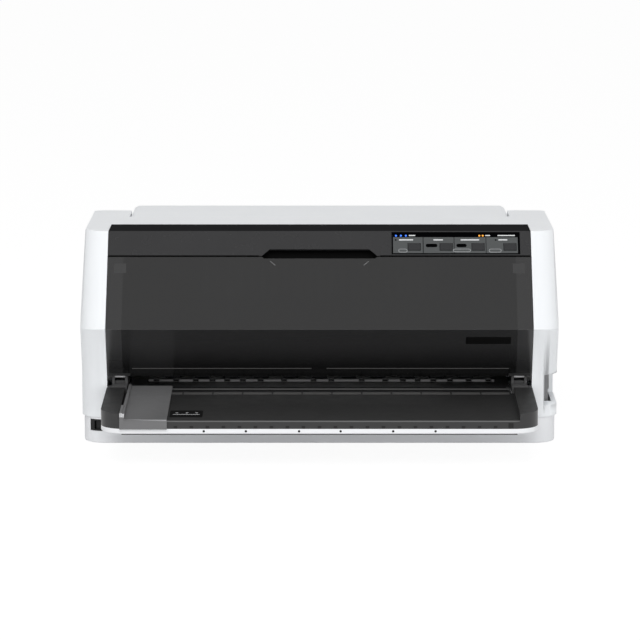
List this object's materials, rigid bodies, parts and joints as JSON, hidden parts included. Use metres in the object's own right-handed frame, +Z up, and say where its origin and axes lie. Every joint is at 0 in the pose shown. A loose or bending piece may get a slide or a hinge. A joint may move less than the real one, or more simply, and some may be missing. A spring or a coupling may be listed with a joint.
{
  "type": "dot matrix printer",
  "caption": "Flatbed impact printer with a tinted swing-down front cover, key panel, front sheet tray with sliding edge guide and rear tractor feed.",
  "frame": {"origin": "centre of the footprint, on the surface that the rubber feet stand on", "axes": "+X to the right as seen from the front, +Y towards the back, +Z up"},
  "size_m": [0.48, 0.37, 0.21],
  "materials": {
    "case_white": "fine-textured off-white moulding",
    "base_grey": "fine-textured light grey moulding",
    "fascia_dark": "satin charcoal moulding",
    "cover_smoke": "smoke-tinted glossy moulding",
    "panel_grey": "satin dark grey panel",
    "key_grey": "satin key tops",
    "lamp": "clear tinted light guides",
    "board_green": "solder-masked circuit board with parts",
    "bumper_grey": "soft grey pads",
    "pin_white": "pale moulded pins",
    "tray_black": "fine-textured black moulding",
    "lip_white": "off-white moulding",
    "guide_grey": "satin mid-grey moulding",
    "foot_rubber": "matt black rubber",
    "sheet_steel": "zinc-plated sheet steel",
    "shaft_steel": "ground and polished steel",
    "mech_black": "glass-filled black moulding",
    "gear_white": "natural acetal",
    "roller_rubber": "ground feed rubber on steel",
    "head_metal": "anodised cooling fins",
    "belt_rubber": "toothed rubber belt",
    "ribbon_ink": "inked nylon ribbon",
    "brass_gear": "turned brass",
    "socket_black": "black connector housings"
  },
  "bodies": {
    "printer": {"base_pan": "base_grey", "rubber_feet": "foot_rubber", "upper_casing": "case_white", "control_fascia": "fascia_dark", "key_panel": "panel_grey", "indicator_lamps": "lamp", "panel_board": "board_green", "cover_bumpers": "bumper_grey", "hinge_pins": "pin_white", "hinge_blocks": "tray_black", "lower_guide": "tray_black", "notched_bar": "guide_grey", "switch_housing": "mech_black", "casing_screws": "sheet_steel", "chassis_plate": "sheet_steel", "left_frame": "sheet_steel", "right_frame": "sheet_steel", "guide_shaft": "shaft_steel", "support_rail": "shaft_steel", "drive_belt": "belt_rubber", "carriage_motor": "mech_black", "cross_beam": "sheet_steel", "platen_bar": "mech_black", "feed_motor": "mech_black", "tractor_rod": "shaft_steel", "ribbon_cartridge": "mech_black", "ribbon": "ribbon_ink", "power_supply": "board_green", "main_board": "board_green", "rear_sockets": "socket_black"},
    "front_cover": {"front_cover": "cover_smoke"},
    "sheet_tray": {"sheet_tray": "tray_black", "tray_lip": "lip_white"},
    "edge_guide": {"edge_guide": "guide_grey"},
    "key_1": {"key_1": "key_grey"},
    "key_2": {"key_2": "key_grey"},
    "key_3": {"key_3": "key_grey"},
    "key_4": {"key_4": "key_grey"},
    "power_rocker": {"power_rocker": "mech_black"},
    "release_lever": {"release_lever": "guide_grey"},
    "rear_guide": {"rear_guide": "case_white"},
    "carriage": {"carriage": "mech_black", "print_head": "head_metal"},
    "motor_pulley": {"motor_pulley": "head_metal"},
    "idler_pulley": {"idler_pulley": "head_metal"},
    "front_feed_roller": {"front_feed_roller": "roller_rubber", "front_roller_gear": "gear_white"},
    "rear_feed_roller": {"rear_feed_roller": "roller_rubber", "rear_roller_gear": "gear_white"},
    "front_pinch_roller": {"front_pinch_roller": "mech_black"},
    "rear_pinch_roller": {"rear_pinch_roller": "mech_black"},
    "motor_pinion": {"motor_pinion": "brass_gear"},
    "idler_gear": {"idler_gear": "gear_white"},
    "rear_idler_gear": {"rear_idler_gear": "gear_white"},
    "tractor_shaft": {"tractor_shaft": "shaft_steel"},
    "left_tractor": {"left_tractor": "mech_black"},
    "right_tractor": {"right_tractor": "mech_black"},
    "left_tractor_door": {"left_tractor_door": "guide_grey"},
    "right_tractor_door": {"right_tractor_door": "guide_grey"},
    "ribbon_knob": {"ribbon_knob": "guide_grey"}
  },
  "joints": [
    {"name": "cover_hinge", "type": "hinge", "parent": "printer", "child": "front_cover", "pos_m": [0, -0.0505, 0.068], "axis": [1, 0, 0], "range_deg": [0, 65]},
    {"name": "tray_slide", "type": "slide", "parent": "printer", "child": "sheet_tray", "axis": [0, -1, 0], "range_m": [0, 0.06]},
    {"name": "guide_slide", "type": "slide", "parent": "sheet_tray", "child": "edge_guide", "axis": [1, 0, 0], "range_m": [0, 0.12]},
    {"name": "rocker_tilt", "type": "hinge", "parent": "printer", "child": "power_rocker", "pos_m": [-0.216, -0.05, 0.0186], "axis": [0, 0, 1], "range_deg": [0, 14]},
    {"name": "lever_swing", "type": "hinge", "parent": "printer", "child": "release_lever", "pos_m": [0.231, -0.017, 0.012], "axis": [1, 0, 0], "range_deg": [0, 35]},
    {"name": "rear_guide_hinge", "type": "hinge", "parent": "printer", "child": "rear_guide", "pos_m": [0, 0.1009, 0.20825], "axis": [1, 0, 0], "range_deg": [0, 65]},
    {"name": "carriage_slide", "type": "slide", "parent": "printer", "child": "carriage", "axis": [1, 0, 0], "range_m": [-0.296, 0]},
    {"name": "motor_pulley_spin", "type": "hinge", "parent": "printer", "child": "motor_pulley", "pos_m": [0.178, 0.092, 0.097], "axis": [0, 0, 1], "continuous": true},
    {"name": "idler_pulley_spin", "type": "hinge", "parent": "printer", "child": "idler_pulley", "pos_m": [-0.178, 0.092, 0.097], "axis": [0, 0, 1], "continuous": true},
    {"name": "front_feed_spin", "type": "hinge", "parent": "printer", "child": "front_feed_roller", "pos_m": [0, 0.008, 0.0473], "axis": [1, 0, 0], "continuous": true},
    {"name": "rear_feed_spin", "type": "hinge", "parent": "printer", "child": "rear_feed_roller", "pos_m": [0, 0.062, 0.0473], "axis": [1, 0, 0], "continuous": true},
    {"name": "front_pinch_spin", "type": "hinge", "parent": "printer", "child": "front_pinch_roller", "pos_m": [0, 0.008, 0.0606], "axis": [1, 0, 0], "continuous": true},
    {"name": "rear_pinch_spin", "type": "hinge", "parent": "printer", "child": "rear_pinch_roller", "pos_m": [0, 0.062, 0.0606], "axis": [1, 0, 0], "continuous": true},
    {"name": "pinion_spin", "type": "hinge", "parent": "printer", "child": "motor_pinion", "pos_m": [-0.203, 0.035, 0.03411], "axis": [1, 0, 0], "continuous": true},
    {"name": "idler_gear_spin", "type": "hinge", "parent": "printer", "child": "idler_gear", "pos_m": [-0.203, 0.035, 0.05526], "axis": [1, 0, 0], "continuous": true},
    {"name": "rear_idler_spin", "type": "hinge", "parent": "printer", "child": "rear_idler_gear", "pos_m": [-0.203, 0.09015, 0.0473], "axis": [1, 0, 0], "continuous": true},
    {"name": "tractor_shaft_spin", "type": "hinge", "parent": "printer", "child": "tractor_shaft", "pos_m": [0, 0.1183, 0.0473], "axis": [1, 0, 0], "continuous": true},
    {"name": "left_tractor_slide", "type": "slide", "parent": "printer", "child": "left_tractor", "axis": [1, 0, 0], "range_m": [-0.05, 0.08]},
    {"name": "right_tractor_slide", "type": "slide", "parent": "printer", "child": "right_tractor", "axis": [1, 0, 0], "range_m": [-0.08, 0.05]},
    {"name": "left_door_hinge", "type": "hinge", "parent": "left_tractor", "child": "left_tractor_door", "pos_m": [-0.131, 0.1183, 0.0582], "axis": [0, 1, 0], "range_deg": [-100, 0]},
    {"name": "right_door_hinge", "type": "hinge", "parent": "right_tractor", "child": "right_tractor_door", "pos_m": [0.131, 0.1183, 0.0582], "axis": [0, 1, 0], "range_deg": [0, 100]},
    {"name": "ribbon_knob_spin", "type": "hinge", "parent": "printer", "child": "ribbon_knob", "pos_m": [-0.15, -0.025, 0.1], "axis": [0, 0, 1], "continuous": true},
    {"name": "key_1_press", "type": "slide", "parent": "printer", "child": "key_1", "axis": [0, 0.805, -0.5932], "range_m": [0, 0.0012], "stiffness_N_per_m": 300, "springref_m": -0.0005},
    {"name": "key_2_press", "type": "slide", "parent": "printer", "child": "key_2", "axis": [0, 0.805, -0.5932], "range_m": [0, 0.0012], "stiffness_N_per_m": 300, "springref_m": -0.0005},
    {"name": "key_3_press", "type": "slide", "parent": "printer", "child": "key_3", "axis": [0, 0.805, -0.5932], "range_m": [0, 0.0012], "stiffness_N_per_m": 300, "springref_m": -0.0005},
    {"name": "key_4_press", "type": "slide", "parent": "printer", "child": "key_4", "axis": [0, 0.805, -0.5932], "range_m": [0, 0.0012], "stiffness_N_per_m": 300, "springref_m": -0.0005}
  ],
  "couplings": [
    {"joint": "idler_gear_spin", "follows": "front_feed_spin", "ratio": -1},
    {"joint": "rear_feed_spin", "follows": "front_feed_spin", "ratio": 1},
    {"joint": "pinion_spin", "follows": "front_feed_spin", "ratio": 2},
    {"joint": "rear_idler_spin", "follows": "front_feed_spin", "ratio": -1},
    {"joint": "tractor_shaft_spin", "follows": "front_feed_spin", "ratio": 1},
    {"joint": "front_pinch_spin", "follows": "front_feed_spin", "ratio": -1.6},
    {"joint": "rear_pinch_spin", "follows": "front_feed_spin", "ratio": -1.6},
    {"joint": "motor_pulley_spin", "follows": "carriage_slide", "rad_per_m": 166.67},
    {"joint": "idler_pulley_spin", "follows": "carriage_slide", "rad_per_m": 166.67}
  ]
}
